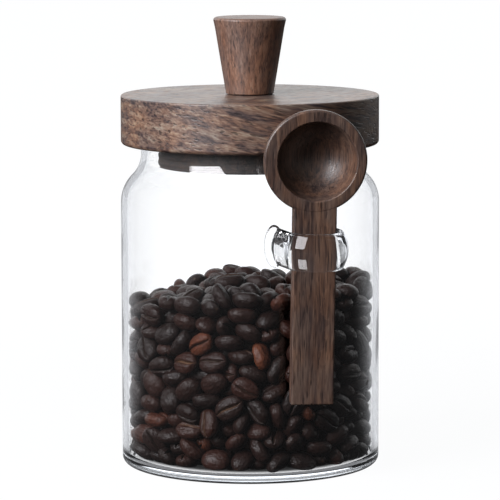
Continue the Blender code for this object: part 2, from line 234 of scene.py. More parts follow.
def turned(outline, steps, ring=False):
    """Spin an outline of (r, z) points about Z; a ring's outline closes on itself."""
    points = [p for p, q in zip(outline, outline[1:] + [(-1.0, 0.0)])
              if hypot(p[0] - q[0], p[1] - q[1]) > 1e-7]
    shape = bmesh.new()
    verts = [shape.verts.new((r, 0.0, z)) for r, z in points]
    edges = [shape.edges.new(pair) for pair in zip(verts, verts[1:])]
    if ring:
        edges.append(shape.edges.new((verts[-1], verts[0])))
    bmesh.ops.spin(shape, geom=verts + edges, cent=(0, 0, 0), axis=(0, 0, 1),
                   angle=tau, steps=steps, use_merge=True)
    bmesh.ops.remove_doubles(shape, verts=shape.verts, dist=1e-6)
    return shape


def top_edge(r, z, size, steps):
    """The rounded edge of a turned piece's top at the corner (r, z)."""
    return arc((r - size, z - size), size, radians(90), 0.0, steps)


def bottom_edge(r, z, size, steps):
    return arc((r - size, z + size), size, 0.0, radians(-90), steps)


def lathe(name, outline, sides, material, ring=False):
    """A turned piece in its material."""
    piece = object_from(name, turned(outline, sides, ring))
    piece.data.materials.append(material)
    return piece


def skinned(rows):
    """Join closed rows of points into a tube with flat ends."""
    shape = bmesh.new()
    rings = [[shape.verts.new(point) for point in row] for row in rows]
    for low, high in zip(rings, rings[1:]):
        for i in range(len(low)):
            j = (i + 1) % len(low)
            shape.faces.new((low[i], low[j], high[j], high[i]))
    shape.faces.new(rings[0])
    shape.faces.new(rings[-1])
    return shape


def box(low, high):
    """A box between two corners."""
    shape = bmesh.new()
    bmesh.ops.create_cube(shape, size=1.0)
    size = [b - a for a, b in zip(low, high)]
    middle = [(a + b) / 2 for a, b in zip(low, high)]
    bmesh.ops.scale(shape, vec=size, verts=shape.verts)
    bmesh.ops.translate(shape, vec=middle, verts=shape.verts)
    return shape


# ---------- material helpers
class Graph:
    """The nodes of a material or a world."""

    def __init__(self, owner, output="OutputMaterial"):
        self.owner = owner
        owner.use_nodes = True
        self.tree = owner.node_tree
        self.tree.nodes.clear()
        self.output = self.node(output)

    def node(self, kind, inputs=(), **settings):
        """Add a node; an input is either a value or another node's output."""
        made = self.tree.nodes.new("ShaderNode" + kind)
        for key, value in settings.items():
            setattr(made, key, value)
        for key, value in dict(inputs).items():
            if isinstance(value, bpy.types.NodeSocket):
                self.tree.links.new(value, made.inputs[key])
            else:
                made.inputs[key].default_value = value
        return made

    def out(self, kind, inputs=(), output=0, **settings):
        """Add a node and return one of its outputs."""
        return self.node(kind, inputs, **settings).outputs[output]

    def place(self):
        """Where a point is on its object, in metres."""
        return self.out("TexCoord", output="Object")

    def attribute(self, name, output="Fac"):
        return self.out("Attribute", output=output, attribute_name=name)

    def mapped(self, place, shift=(0, 0, 0), turn=(0, 0, 0), scale=(1, 1, 1)):
        return self.out("Mapping", {"Vector": place, "Location": shift,
                                    "Rotation": turn, "Scale": scale})

    def noise(self, place, scale, detail=3.0, rough=0.55, output="Fac"):
        return self.out("TexNoise", {
            "Vector": place, "Scale": scale, "Detail": detail, "Roughness": rough}, output)

    def drawn_out(self, place, share, scale, **settings):
        """Noise that is longer along X than across it: share is its scale there."""
        return self.noise(self.mapped(place, scale=(share, 1.0, 1.0)), scale, **settings)

    def maths(self, operation, first, second=0.0, third=0.0):
        inputs = {0: first, 1: second, 2: third}
        return self.out("Math", inputs, operation=operation)

    def vector(self, operation, first, second):
        return self.out("VectorMath", {0: first, 1: second}, operation=operation)

    def scaled(self, vector, factor):
        return self.out("VectorMath", {0: vector, "Scale": factor}, operation="SCALE")

    def level(self, factor, first, second):
        """A number between two others."""
        return self.out("Mix", {"Factor": factor, "A": first, "B": second},
                        data_type="FLOAT")

    def spread(self, value, low, high, to_low=0.0, to_high=1.0):
        """Turn low to high smoothly into to_low to to_high, and clamp beyond them."""
        return self.out("MapRange", {
            "Value": value, "From Min": low, "From Max": high,
            "To Min": to_low, "To Max": to_high}, interpolation_type="SMOOTHSTEP")

    def ramp(self, value, stops):
        """Colours at places along a value; stops are (place, colour)."""
        made = self.node("ValToRGB", {"Fac": value})
        elements = made.color_ramp.elements
        while len(elements) < len(stops):
            elements.new(0.5)
        for element, (position, colour) in zip(elements, stops):
            element.position = position
            element.color = (*colour, 1.0)
        return made.outputs["Color"]

    def mixed(self, factor, first, second, blend="MIX"):
        """A mix of two colours, each given as three numbers or as an output."""
        first, second = (value if isinstance(value, bpy.types.NodeSocket)
                         else (*value, 1.0) for value in (first, second))
        return self.out("Mix", {"Factor": factor, 6: first, 7: second}, 2,
                        data_type="RGBA", blend_type=blend)

    def bump(self, height, distance, strength=1.0):
        return self.out("Bump", {"Height": height, "Distance": distance,
                                 "Strength": strength})

    def principled(self, inputs):
        return self.out("BsdfPrincipled", inputs)

    def blend(self, factor, first, second):
        return self.out("MixShader", {0: factor, 1: first, 2: second})

    def finish(self, surface, volume=None):
        """Link the shaders to the output and return the material or world."""
        self.tree.links.new(surface, self.output.inputs["Surface"])
        if volume is not None:
            self.tree.links.new(volume, self.output.inputs["Volume"])
        return self.owner

    def open_to_light(self, solid):
        """Lamps, and rough and scattered rays, pass a clear shader straight through."""
        path = self.node("LightPath").outputs
        clear = self.out("BsdfTransparent")
        mirrored = self.blend(path["Is Singular Ray"], clear, solid)
        surface = self.blend(path["Is Glossy Ray"], solid, mirrored)
        surface = self.blend(path["Is Diffuse Ray"], surface, clear)
        return self.blend(path["Is Shadow Ray"], surface, clear)


# ---------- materials
def material_graph(name):
    return Graph(bpy.data.materials.new(name))


def glass_material():
    """Clear blown glass, faintly wavy, that greys where it is looked at edge on."""
    g = material_graph("clear_glass")
    wave = g.noise(g.place(), 38.0, detail=1.0)
    solid = g.principled({
        "Base Color": (0.99, 0.993, 1.0, 1.0), "Roughness": 0.0, "IOR": 1.49,
        "Transmission Weight": 1.0, "Normal": g.bump(wave, 0.00012)})
    absorb = g.out("VolumeAbsorption",
                   {"Color": (0.60, 0.66, 0.70, 1.0), "Density": 5.0})
    return g.finish(g.open_to_light(solid), absorb)


def silicone_material():
    """Translucent moulded silicone with a faint mottle."""
    g = material_graph("clear_silicone")
    mottle = g.noise(g.place(), 900.0, detail=2.0)
    solid = g.principled({
        "Base Color": (0.97, 0.975, 0.985, 1.0), "IOR": 1.008,
        "Roughness": g.spread(mottle, 0.3, 0.7, 0.02, 0.07),
        "Transmission Weight": 0.94, "Normal": g.bump(mottle, 0.00001)})
    return g.finish(g.open_to_light(solid))


def steel_material():
    """Zinc-plated steel, finely scratched."""
    g = material_graph("plated_steel")
    scratch = g.noise(g.mapped(g.place(), scale=(1.0, 1.0, 6.0)), 1500.0, detail=4.0)
    tint = g.ramp(scratch, [(0.3, (0.46, 0.46, 0.47)), (0.7, (0.64, 0.64, 0.63))])
    return g.finish(g.principled({
        "Base Color": tint, "Metallic": 1.0,
        "Roughness": g.spread(scratch, 0.3, 0.7, 0.22, 0.45),
        "Normal": g.bump(scratch, 0.00002)}))


def wood_material(name, grain, tones, pith, ring_pitch, figure, coarse=1.0,
                  shade=(0.42, 0.62), patchy=0.85, flat=1.0):
    """Oiled open-grained wood as a solid texture.

    grain turns the wood so that its fibres run along X. tones are the colours from dark
    to light, pith is where the rings' centre lies, figure is how far they wander,
    coarse is the size of the pores, shade is the roughness from gloss to dull, patchy
    is the strength of the broad patches, and flat is how much wider than high the
    streaks are across the fibres.
    """
    g = material_graph(name)
    place = g.mapped(g.place(), turn=grain, scale=(1.0, 1.0 / flat, 1.0))
    wander = g.drawn_out(place, 0.5, 38.0, detail=2.0, output="Color")
    wander = g.scaled(g.vector("SUBTRACT", wander, (0.5, 0.5, 0.5)), figure)
    bent = g.vector("ADD", place, wander)
    rings = g.out("TexWave", {
        "Vector": g.mapped(bent, shift=pith), "Scale": tau / (20.0 * ring_pitch),
        "Distortion": 2.5, "Detail": 3.0, "Detail Scale": 2.0}, "Fac",
        wave_type="RINGS", rings_direction="X", wave_profile="SAW")
    patches = g.drawn_out(bent, 0.30, 95.0, detail=3.0)
    lines = g.drawn_out(bent, 0.035, 420.0 / coarse, detail=3.0, rough=0.6)
    fibres = g.drawn_out(bent, 0.075, 1500.0 / coarse, detail=2.0, rough=0.6)
    level = 0.5
    for part, weight in ((rings, 0.16), (patches, patchy), (lines, 1.35), (fibres, 1.0)):
        level = g.maths("ADD", level, g.maths("MULTIPLY_ADD", part, weight, -weight / 2))
    steps = len(tones) - 1
    colour = g.ramp(level, [(0.14 + 0.72 * i / steps, t) for i, t in enumerate(tones)])
    elsewhere = g.mapped(bent, (0.3, 0.1, 0.2), scale=(0.4, 1.0, 1.0))
    warmth = g.spread(g.noise(elsewhere, 130.0, detail=2.0), 0.36, 0.64)
    tint = g.mixed(warmth, (0.90, 0.97, 1.07), (1.11, 0.99, 0.90))
    colour = g.mixed(1.0, colour, tint, "MULTIPLY")

    pore = g.drawn_out(bent, 0.085, 1250.0 / coarse, detail=1.0, rough=0.4)
    pore = g.spread(pore, 0.33, 0.41, 1.0, 0.0)
    dark = tuple(0.30 * c for c in tones[0])
    colour = g.mixed(g.maths("MULTIPLY", pore, 0.62), colour, dark)
    height = g.maths("SUBTRACT", g.maths("MULTIPLY", fibres, 0.5), pore)
    return g.finish(g.principled({
        "Base Color": colour, "Specular IOR Level": 0.75,
        "Roughness": g.spread(fibres, 0.3, 0.7, shade[0], shade[1]),
        "Normal": g.bump(height, 0.00005 * coarse, 0.6)}))


def bean_material():
    """Dark roast: each bean has its own tone, wrinkles, and some chaff in its crease."""
    g = material_graph("roasted_coffee")
    tone = g.attribute("bean_tone")
    crease = g.attribute("bean_crease")
    chaff = g.attribute("bean_chaff")
    place = g.attribute("bean_place", "Vector")
    mottle = g.noise(place, 420.0, detail=4.0, rough=0.6)
    wrinkle = g.drawn_out(place, 0.45, 900.0, detail=3.0)
    level = g.maths("ADD", tone, g.maths("MULTIPLY_ADD", mottle, 0.34, -0.17))
    colour = g.ramp(level, [
        (0.0, (0.007, 0.0042, 0.0037)), (0.45, (0.020, 0.0085, 0.0065)),
        (0.72, (0.044, 0.015, 0.010)), (0.88, (0.090, 0.028, 0.014)),
        (1.0, (0.160, 0.050, 0.024))])
    inside = g.mixed(chaff, (0.008, 0.005, 0.004), (0.17, 0.095, 0.055))
    colour = g.mixed(g.maths("MULTIPLY", crease, 0.9), colour, inside)
    height = g.maths("ADD", wrinkle, mottle)
    return g.finish(g.principled({
        "Base Color": colour, "Roughness": g.spread(mottle, 0.3, 0.7, 0.30, 0.48),
        "Specular IOR Level": 0.25, "Normal": g.bump(height, 0.00060, 0.9)}))


def core_shade_material():
    """The unseen middle of the heap, nearly black as painted shade of the deep gaps between
    beans.
    """
    g = material_graph("heap_core")
    mottle = g.noise(g.place(), 300.0, detail=3.0)
    # Painted shade: nearly black, darker than most beans, for the gaps deep in the heap.
    colour = g.ramp(mottle, [(0.35, (0.004, 0.003, 0.003)), (0.7, (0.012, 0.008, 0.006))])
    return g.finish(g.principled({"Base Color": colour, "Roughness": 0.8,
                                  "Normal": g.bump(mottle, 0.002)}))


# ---------- jar and loop
def jar_outline():
    """From the middle of the floor, up the inside, over the rim and down the outside."""
    floor = BASE_THICKNESS
    flat_steps, wall_steps, curve_steps, heel_steps, rim_steps = 5, 30, 14, 10, 6
    right, up = 0.0, radians(90)
    left, down = radians(180), radians(-90)
    foot_centre = (BODY_R - SHOULDER_FOOT_ARC, SHOULDER_FOOT_Z)
    neck_centre = (NECK_R + NECK_ARC, NECK_FOOT_Z)
    rim_z = RIM_Z - RIM_ROUND
    wall_inside = (INSIDE_R, floor + HEEL_INNER_R), (INSIDE_R, SHOULDER_FOOT_Z)
    wall_outside = (BODY_R, SHOULDER_FOOT_Z), (BODY_R, HEEL_OUTER_R)
    points = [(0.0, floor)]
    points += run((0.0, floor), (INSIDE_R - HEEL_INNER_R, floor), flat_steps)
    points += arc((INSIDE_R - HEEL_INNER_R, floor + HEEL_INNER_R), HEEL_INNER_R,
                  down, right, curve_steps)
    points += run(*wall_inside, wall_steps)
    points += arc(foot_centre, SHOULDER_FOOT_ARC - WALL, right, SHOULDER_SLOPE,
                  curve_steps)
    points += arc(neck_centre, NECK_ARC + WALL, left + SHOULDER_SLOPE, left, curve_steps)
    points += arc((NECK_R - WALL + RIM_ROUND, rim_z), RIM_ROUND, left, up, rim_steps)
    points += arc((NECK_R - RIM_ROUND, rim_z), RIM_ROUND, up, right, rim_steps)
    points += arc(neck_centre, NECK_ARC, left, left + SHOULDER_SLOPE, curve_steps)
    points += arc(foot_centre, SHOULDER_FOOT_ARC, SHOULDER_SLOPE, right, curve_steps)
    points += run(*wall_outside, wall_steps)
    points += bottom_edge(BODY_R, 0.0, HEEL_OUTER_R, heel_steps)
    points += run((BODY_R - HEEL_OUTER_R, 0.0), (0.0, 0.0), flat_steps)
    return points + [(0.0, 0.0)]


def loop_path():
    """Points (outward, sideways) of the band's middle line, from foot to foot."""
    curve_steps, leg_steps = 72, 40
    crowding = 1.6                # a leg's points crowd towards its foot
    reach = []
    for i in range(curve_steps + 1):
        angle = LOOP_CURVE * (2 * i / curve_steps - 1)
        reach.append(Vector((LOOP_CENTRE_R + LOOP_MID_R * cos(angle),
                             LOOP_MID_R * sin(angle))))
    inward = Vector((-sin(LOOP_CURVE), cos(LOOP_CURVE)))
    steps = [LOOP_LEG * (1.0 - (1.0 - i / leg_steps) ** crowding)
             for i in range(1, leg_steps + 1)]
    last_leg = [reach[-1] + inward * step for step in steps]
    first_leg = [Vector((p.x, -p.y)) for p in reversed(last_leg)]
    return first_leg + reach + last_leg


def foot_share(plan):
    """How far the band has spread into its pad at a place, from 0 to 1."""
    off = (plan.length - BODY_R - BEAD_MIDDLE) / BEAD_HALF
    return (1.0 - min(abs(off), 1.0) ** 2) ** 0.5


def band_section(point, along):
    """A barrel section, straight inside and bulging outside, that turns into an oval."""
    across = Vector((along.y, -along.x))
    outward = Vector((sin(LOOP_BEARING), -cos(LOOP_BEARING)))
    sideways = Vector((cos(LOOP_BEARING), sin(LOOP_BEARING)))
    reach = LOOP_CENTRE_R + LOOP_MID_R - BODY_R
    middle_z = LOOP_FOOT_Z - LOOP_DROOP * (point.x - BODY_R) / reach
    row = []
    steps, squareness = 36, 0.45
    for i in range(steps):
        angle = tau * i / steps
        back = LOOP_BULGE * sin(angle) ** 2
        side = abs(cos(angle)) ** squareness * (1 if cos(angle) > 0 else -1)
        offset = (LOOP_BAND - back) / 2 * side - back / 2
        wide = FOOT_BAND / 2 * cos(angle)
        share = foot_share(point + across * wide)
        offset += share * (wide - offset)
        height = LOOP_HEIGHT + share * (FOOT_HEIGHT - LOOP_HEIGHT)
        plan = point + across * offset
        flat = outward * plan.x + sideways * plan.y
        row.append((flat.x, flat.y, middle_z + sin(angle) * height / 2))
    return row


def make_loop():
    """The band with a pad at both feet, ending inside the wall."""
    path = loop_path()
    rows = []
    for i, point in enumerate(path):
        before, after = path[max(i - 1, 0)], path[min(i + 1, len(path) - 1)]
        rows.append(band_section(point, (after - before).normalized()))
    loop = object_from("loop_guide", skinned(rows), sharp=radians(60))
    low, high = LOOP_FOOT_Z - FOOT_HEIGHT, LOOP_FOOT_Z + FOOT_HEIGHT
    cut_r = BODY_R - 0.5 * WALL
    core = turned([(0.0, high), (cut_r, high), (cut_r, low), (0.0, low)], GLASS_SIDES)
    return combined(loop, object_from("loop_cutter", core), "DIFFERENCE")


def make_jar(glass):
    """The jar and its loop, fused into one piece of glass."""
    jar = object_from("blown_jar", turned(jar_outline(), GLASS_SIDES))
    return refinished(combined(jar, make_loop(), "UNION"), radians(40), glass)


# ---------- lid
def make_disc(wood):
    """The lid's broad disc, with a crisp top edge and a softer one below."""
    top, bottom = disc_high.z, disc_low.z
    outline = [(SCREW_HOLE_R, top)] + run((SCREW_HOLE_R, top), (DISC_R, top), 12)
    outline += top_edge(DISC_R, top, DISC_TOP_ROUND, 5)
    outline += run((DISC_R, top), (DISC_R, bottom + DISC_BOTTOM_ROUND), 6)
    outline += bottom_edge(DISC_R, bottom, DISC_BOTTOM_ROUND, 7)
    outline += run((DISC_R - DISC_BOTTOM_ROUND, bottom), (SCREW_HOLE_R, bottom), 8)
    outline += [(SCREW_HOLE_R, bottom)]
    return steady_normals(lathe("turned_disc", outline, TURNED_SIDES, wood, ring=True))


def make_plug(wood):
    """The plug under the disc, sunk for its screw's head."""
    top, bottom = plug_high.z, plug_low.z
    outline = [(SCREW_HOLE_R, top)] + top_edge(PLUG_R, top, PLUG_ROUND, 5)
    outline += bottom_edge(PLUG_R, bottom, PLUG_ROUND, 5)
    outline += [(SINK_R + SINK_EASE, bottom), (SINK_R, bottom + SINK_EASE),
                (SINK_R, bottom + SINK_DEPTH), (SCREW_HOLE_R, bottom + SINK_END)]
    return steady_normals(lathe("turned_plug", outline, TURNED_SIDES, wood, ring=True))


def make_seal(silicone):
    """A sleeve with soft-tipped fins, from its foot up the inside and down the outside."""
    inner = PLUG_R + GAP
    outer = inner + SLEEVE_THICKNESS
    bottom, top = seal_low.z, seal_high.z
    pitch = (top - bottom) / FIN_COUNT
    outline = [(inner, bottom), (inner, top), (outer, top)]
    for i in range(FIN_COUNT):
        middle = top - pitch * (i + 0.5)
        outline += [(outer, middle + FIN_ROOT / 2)]
        outline += arc((SEAL_R - FIN_TIP / 2, middle), FIN_TIP / 2,
                       radians(90), radians(-90), 6)
        outline += [(outer, middle - FIN_ROOT / 2)]
    outline += [(outer, bottom)]
    return lathe("moulded_seal", outline, TURNED_SIDES, silicone, ring=True)


def make_knob(wood):
    """A cone that widens upwards, eased at its foot, with its screw's blind hole."""
    foot, top = knob_low.z, knob_high.z
    slope = (KNOB_TOP_R - KNOB_FOOT_R) / (top - foot)
    edge_z = top - KNOB_ROUND
    side_top = (KNOB_TOP_R - slope * KNOB_ROUND, edge_z)
    side_foot = (KNOB_FOOT_R, foot + KNOB_EASE)
    flank = radians(6)            # the cone's side leans about this much
    outline = [(0.0, top)] + run((0.0, top), (KNOB_TOP_R - KNOB_ROUND, top), 5)
    outline += arc((KNOB_TOP_R - KNOB_ROUND, edge_z), KNOB_ROUND, radians(90), flank, 8)
    outline += run(side_top, side_foot, 10)
    outline += [side_foot, (KNOB_FOOT_R - KNOB_EASE, foot)]
    outline += [(SCREW_HOLE_R, foot), (SCREW_HOLE_R, HOLE_TOP_Z), (0.0, HOLE_TOP_Z)]
    return steady_normals(lathe("turned_knob", outline, KNOB_SIDES, wood))


# ---------- scoop
def scoop_axes():
    """The scoop's unit vectors: its width, its depth into the bowl and its length."""
    facing = Vector((sin(SCOOP_TURN), -cos(SCOOP_TURN), 0.0))
    across = Vector((cos(SCOOP_TURN), sin(SCOOP_TURN), 0.0))
    upright = Vector((0.0, 0.0, 1.0))
    leaning = upright * cos(SCOOP_LEAN) + facing * sin(SCOOP_LEAN)
    length = leaning * cos(SCOOP_ROLL) + across * sin(SCOOP_ROLL)
    width = across * cos(SCOOP_ROLL) - leaning * sin(SCOOP_ROLL)
    return width, length.cross(width), length


def bowl_shape(outline, steps, shift=0.0):
    """Turn an outline of (radius, depth) points about the scoop's depth axis."""
    shape = turned(outline, steps)
    bmesh.ops.rotate(shape, cent=(0, 0, 0), verts=shape.verts,
                     matrix=Matrix.Rotation(radians(-90), 3, "X"))
    bmesh.ops.translate(shape, vec=(shift, 0.0, 0.0), verts=shape.verts)
    return shape


def bowl_curve(radius, start_depth, depth, steps):
    """A quarter ellipse from the wall, start_depth below the rim, to the bottom."""
    angles = [radians(90) * i / steps for i in range(steps)]
    points = [(radius * cos(a), start_depth + (depth - start_depth) * sin(a))
              for a in angles]
    return points + [(0.0, depth)]


def notch():
    """A small split in the end grain of the handle."""
    half, rise, deep = 0.00045, 0.0011, 0.0016
    over_front, over_end = 0.001, 0.0005
    front, back = HANDLE_STEP - over_front, HANDLE_STEP + deep
    foot = -HANDLE_END - over_end
    shape = bmesh.new()
    rows = [[shape.verts.new((x, y, z)) for x, z in
             ((-half, foot), (half, foot), (0.0, -HANDLE_END + rise))]
            for y in (front, back)]
    shape.faces.new(rows[0])
    shape.faces.new(rows[1])
    for i in range(3):
        j = (i + 1) % 3
        shape.faces.new((rows[0][i], rows[0][j], rows[1][j], rows[1][i]))
    return shape


def make_scoop(wood):
    """Bowl and handle in one piece, built round the middle of the rim."""
    outside = [(0.0, 0.0)] + run((0.0, 0.0), (BOWL_R, 0.0), 4)
    outside += arc((BOWL_R - BOWL_EDGE, BOWL_EDGE), BOWL_EDGE, radians(-90), 0.0, 4)
    outside += bowl_curve(BOWL_R, BOWL_EDGE, BOWL_DEPTH, 26)[1:]
    scoop = object_from("carved_scoop", bowl_shape(outside, BOWL_SIDES))

    left, right = HANDLE_SHIFT - HANDLE_WIDTH / 2, HANDLE_SHIFT + HANDLE_WIDTH / 2
    inside_bowl = -0.8 * HOLLOW_R
    handle = box((left, HANDLE_STEP, -HANDLE_END), (right, HANDLE_THICKNESS, inside_bowl))
    bmesh.ops.bevel(handle, geom=handle.edges, offset=HANDLE_EDGE, segments=4,
                    profile=0.5, affect="EDGES")
    scoop = combined(scoop, object_from("handle_guide", handle), "UNION")
    scoop = combined(scoop, object_from("notch_cutter", notch()), "DIFFERENCE")

    above_rim = -0.002
    inside = [(0.0, above_rim), (HOLLOW_R + 1.5 * HOLLOW_EDGE, above_rim),
              (HOLLOW_R + HOLLOW_EDGE, 0.0)]
    inside += arc((HOLLOW_R + HOLLOW_EDGE, HOLLOW_EDGE), HOLLOW_EDGE,
                  radians(-90), radians(-180), 4)[1:]
    inside += bowl_curve(HOLLOW_R, HOLLOW_EDGE, HOLLOW_DEPTH, 24)[1:]
    hollow = bowl_shape(inside, BOWL_SIDES, HOLLOW_SHIFT)
    scoop = combined(scoop, object_from("hollow_cutter", hollow), "DIFFERENCE")
    turn = Matrix(scoop_axes()).transposed().to_4x4()
    scoop.matrix_world = Matrix.Translation(BOWL_CENTRE) @ turn
    return refinished(scoop, radians(35), wood)


# ---------- pouring the beans
def slab(name, size, place):
    """A box of a size at a place, for the simulation only."""
    half = [s / 2 for s in size]
    thing = object_from(name, box([-h for h in half], half))
    thing.matrix_world = place
    return thing


def pour_walls():
    """The jar's inside and the core, as slabs at the pour's scale."""
    scale = POUR_SCALE
    sides, thick, height, heel_length = 28, 2.0, 60.0, 1.2
    floor_size = (40.0, 40.0, 4.0)
    inside = (INSIDE_R - 2 * GAP) * scale
    floor = (BASE_THICKNESS + 2 * GAP) * scale
    heel = (HEEL_INNER_R - 2 * GAP) * scale
    width = 2.6 * pi * inside / sides   # wide enough for neighbours to overlap
    outward = Matrix.Translation((thick / 2, 0.0, 0.0))
    under = Matrix.Translation((0, 0, floor - floor_size[2] / 2))
    walls = [slab("floor", floor_size, under)]
    for i in range(sides):
        turn = Matrix.Rotation(tau * i / sides, 4, "Z")
        upright = Matrix.Translation((inside + thick / 2, 0.0, height / 2))
        walls.append(slab("wall", (thick, width, height), turn @ upright))
        for slant in (radians(25), radians(60)):
            touch = (inside - heel + heel * cos(slant), 0.0, floor + heel - heel * sin(slant))
            tilted = Matrix.Translation(touch) @ Matrix.Rotation(slant, 4, "Y")
            size = (thick, width, heel_length)
            walls.append(slab("heel", size, turn @ tilted @ outward))
    return walls


def pour_core():
    """A plain core with a sloping top, which the beans gather round."""
    low, top, r = 0.0, CORE_TOP * POUR_SCALE, CORE_R * POUR_SCALE
    outline = [(0.0, top), (CORE_FLAT * r, top), (r, CORE_SIDE * top), (r, low), (0.0, low)]
    return object_from("core", turned(outline, 24))


def bean_hull():
    """A bean's rough convex shape at the pour's scale."""
    shape = bmesh.new()
    bmesh.ops.create_icosphere(shape, subdivisions=2, radius=1.0)
    for vert in shape.verts:
        x, y, z = vert.co
        height = BEAN_BACK if z > 0 else BEAN_BELLY
        vert.co = Vector((x * BEAN_HALF[0], y * BEAN_HALF[1], z * height)) * POUR_SCALE
    mesh = bpy.data.meshes.new("bean_hull")
    shape.to_mesh(mesh)
    shape.free()
    return mesh


def loose_beans(rng):
    """Beans in layers above the floor, each turned at random."""
    hull = bean_hull()
    inside = INSIDE_R * POUR_SCALE
    core = CORE_R * POUR_SCALE
    pitch, layer_height, jitter, tilt = 1.20, 1.06, 0.04, 0.6
    half_bean, half_layer, above_core = 0.66, 0.7, 0.6
    stagger_x, stagger_y = 0.9, 0.6   # of a shift, which every other layer has
    reach = int(inside / pitch) + 2
    beans, layer = [], 0
    while len(beans) < BEAN_COUNT:
        z = (BASE_THICKNESS + GAP) * POUR_SCALE + half_layer + layer * layer_height
        over_core = z >= CORE_TOP * POUR_SCALE + above_core
        shift = 0.5 * (layer % 2)
        for column in range(-reach, reach + 1):
            for row in range(-reach, reach + 1):
                x = (column + stagger_x * shift) * pitch
                y = (row + stagger_y * shift) * pitch
                off = hypot(x, y)
                fits = off <= inside - half_bean and (over_core or off >= core + half_bean)
                if not fits or len(beans) >= BEAN_COUNT:
                    continue
                bean = new_object("loose_bean", hull)
                bean.location = (x + rng.uniform(-jitter, jitter),
                                 y + rng.uniform(-jitter, jitter), z)
                bean.rotation_euler = (rng.uniform(0, tau), rng.uniform(-tilt, tilt),
                                       rng.uniform(0, tau))
                beans.append(bean)
        layer += 1
    return beans


def make_rigid(things, kind, shape, friction):
    """Add objects to the simulation, where nothing bounces."""
    bpy.ops.object.select_all(action="DESELECT")
    for thing in things:
        thing.select_set(True)
    bpy.context.view_layer.objects.active = things[0]
    bpy.ops.rigidbody.objects_add(type=kind)
    for thing in things:
        body = thing.rigid_body
        body.collision_shape = shape
        body.friction = friction
        body.use_margin = True
        body.collision_margin = 0.0
        body.restitution = 0.0
        body.linear_damping = 0.1
        body.angular_damping = 0.3


def pour():
    """Drop the beans into the jar and return where each one comes to rest."""
    scene = bpy.context.scene
    gravity = scene.gravity.copy()
    scene.gravity = (0.0, 0.0, -POUR_GRAVITY)
    bpy.ops.rigidbody.world_add()
    world = scene.rigidbody_world
    world.collection = bpy.data.collections.new("pour")
    world.substeps_per_frame = 8
    world.solver_iterations = 10
    world.point_cache.frame_start = 1
    world.point_cache.frame_end = POUR_FRAMES
    walls, core = pour_walls(), pour_core()
    beans = loose_beans(random.Random(7))
    make_rigid(walls, "PASSIVE", "BOX", 0.3)
    make_rigid([core], "PASSIVE", "CONVEX_HULL", 0.3)
    make_rigid(beans, "ACTIVE", "CONVEX_HULL", 0.45)
    frames = POUR_FRAMES
    for number in range(1, frames + 1):
        scene.frame_set(number)
    places = [bean.matrix_world.copy() for bean in beans]
    bpy.ops.rigidbody.world_remove()
    for thing in beans + walls + [core]:
        bpy.data.objects.remove(thing, do_unlink=True)
    scene.frame_set(1)
    scene.gravity = gravity
    for place in places:
        place.translation /= POUR_SCALE
    return places


# ---------- the beans' shape
def bean_shape(rng):
    """One bean's points, faces and crease mask: round back, flat belly, S-shaped crease."""
    rings, back_steps = 17, 10
    blunt_ends, round_back, flat_belly = 2.35, 0.92, 3.2
    crease_width, mask_width = 0.095, 0.10
    lip_off, lip_width = 0.26, 0.13
    half_length = BEAN_HALF[0] * rng.uniform(0.93, 1.0)
    half_width = BEAN_HALF[1] * rng.uniform(0.93, 1.02)
    back = BEAN_BACK * rng.uniform(0.9, 1.02)
    egg = rng.uniform(-0.09, 0.09)
    sway, phase = rng.uniform(0.05, 0.13), rng.uniform(-0.4, 0.4)
    groove, lip = rng.uniform(0.0013, 0.0019), rng.uniform(0.0001, 0.00028)
    back_angles = [pi * i / back_steps for i in range(back_steps + 1)]
    one_side = [0.035, 0.09, 0.17, 0.27, 0.42, 0.62, 0.80, 0.93]
    belly_places = [-place for place in reversed(one_side)] + one_side
    points, mask = [(-half_length, 0.0, 0.0)], [0.3]
    for ring in range(1, rings):
        along = -cos(pi * ring / rings)
        swell = (1.0 - abs(along) ** blunt_ends) ** 0.5
        width = half_width * swell * (1.0 + egg * along)
        middle = sway * sin(2.7 * along + phase)
        fade = 1.0 - along ** 6
        for angle in back_angles:
            points.append((half_length * along, width * cos(angle),
                           back * swell * sin(angle) ** round_back))
            mask.append(0.0)
        for place in belly_places:
            side = place + middle * (1.0 - place * place)
            off = abs(side - middle)
            flat = -BEAN_BELLY * swell ** 0.75 * (1.0 - abs(side) ** flat_belly) ** 0.5
            cut = groove * fade * np.exp(-(off / crease_width) ** 2)
            swollen = lip * fade * np.exp(-((off - lip_off) / lip_width) ** 2)
            points.append((half_length * along, width * side, flat + cut - swollen))
            mask.append(float(np.exp(-(off / mask_width) ** 2) * fade))
    points.append((half_length, 0.0, 0.0))
    mask.append(0.3)

    size = len(back_angles) + len(belly_places)
    faces = []
    for i in range(size):
        j = (i + 1) % size
        faces.append((0, 1 + j, 1 + i))
        for ring in range(rings - 2):
            low, high = 1 + ring * size, 1 + (ring + 1) * size
            faces.append((low + i, low + j, high + j, high + i))
        last = 1 + (rings - 2) * size
        faces.append((last + i, last + j, len(points) - 1))
    return np.array(points), faces, np.array(mask)


def heap_height(x, y):
    """Height of the beans' surface over a point of the jar's floor."""
    share = min(max((x + INSIDE_R) / (HEAP_RISE * INSIDE_R), 0.0), 1.0)
    slope = share * share * (3 - 2 * share)
    level = HEAP_LOW_Z + (HEAP_HIGH_Z - HEAP_LOW_Z) * slope
    return level - HEAP_BACK_DROP * max(y, 0.0) / INSIDE_R


def shown_beans(places):
    """The beans under the heap's surface that can be seen from outside."""
    shown = []
    for place in places:
        x, y, z = place.translation
        off = hypot(x, y)
        under = heap_height(x, y) - SHOWN_SINK - z
        inside = off < INSIDE_R and z > BASE_THICKNESS
        if inside and under > 0.0 and (under < SHOWN_DEPTH or off > SHOWN_R):
            shown.append(place)
    stray = min(places, key=lambda place: (place.translation - STRAY_BEAN).length)
    return shown if stray in shown else shown + [stray]


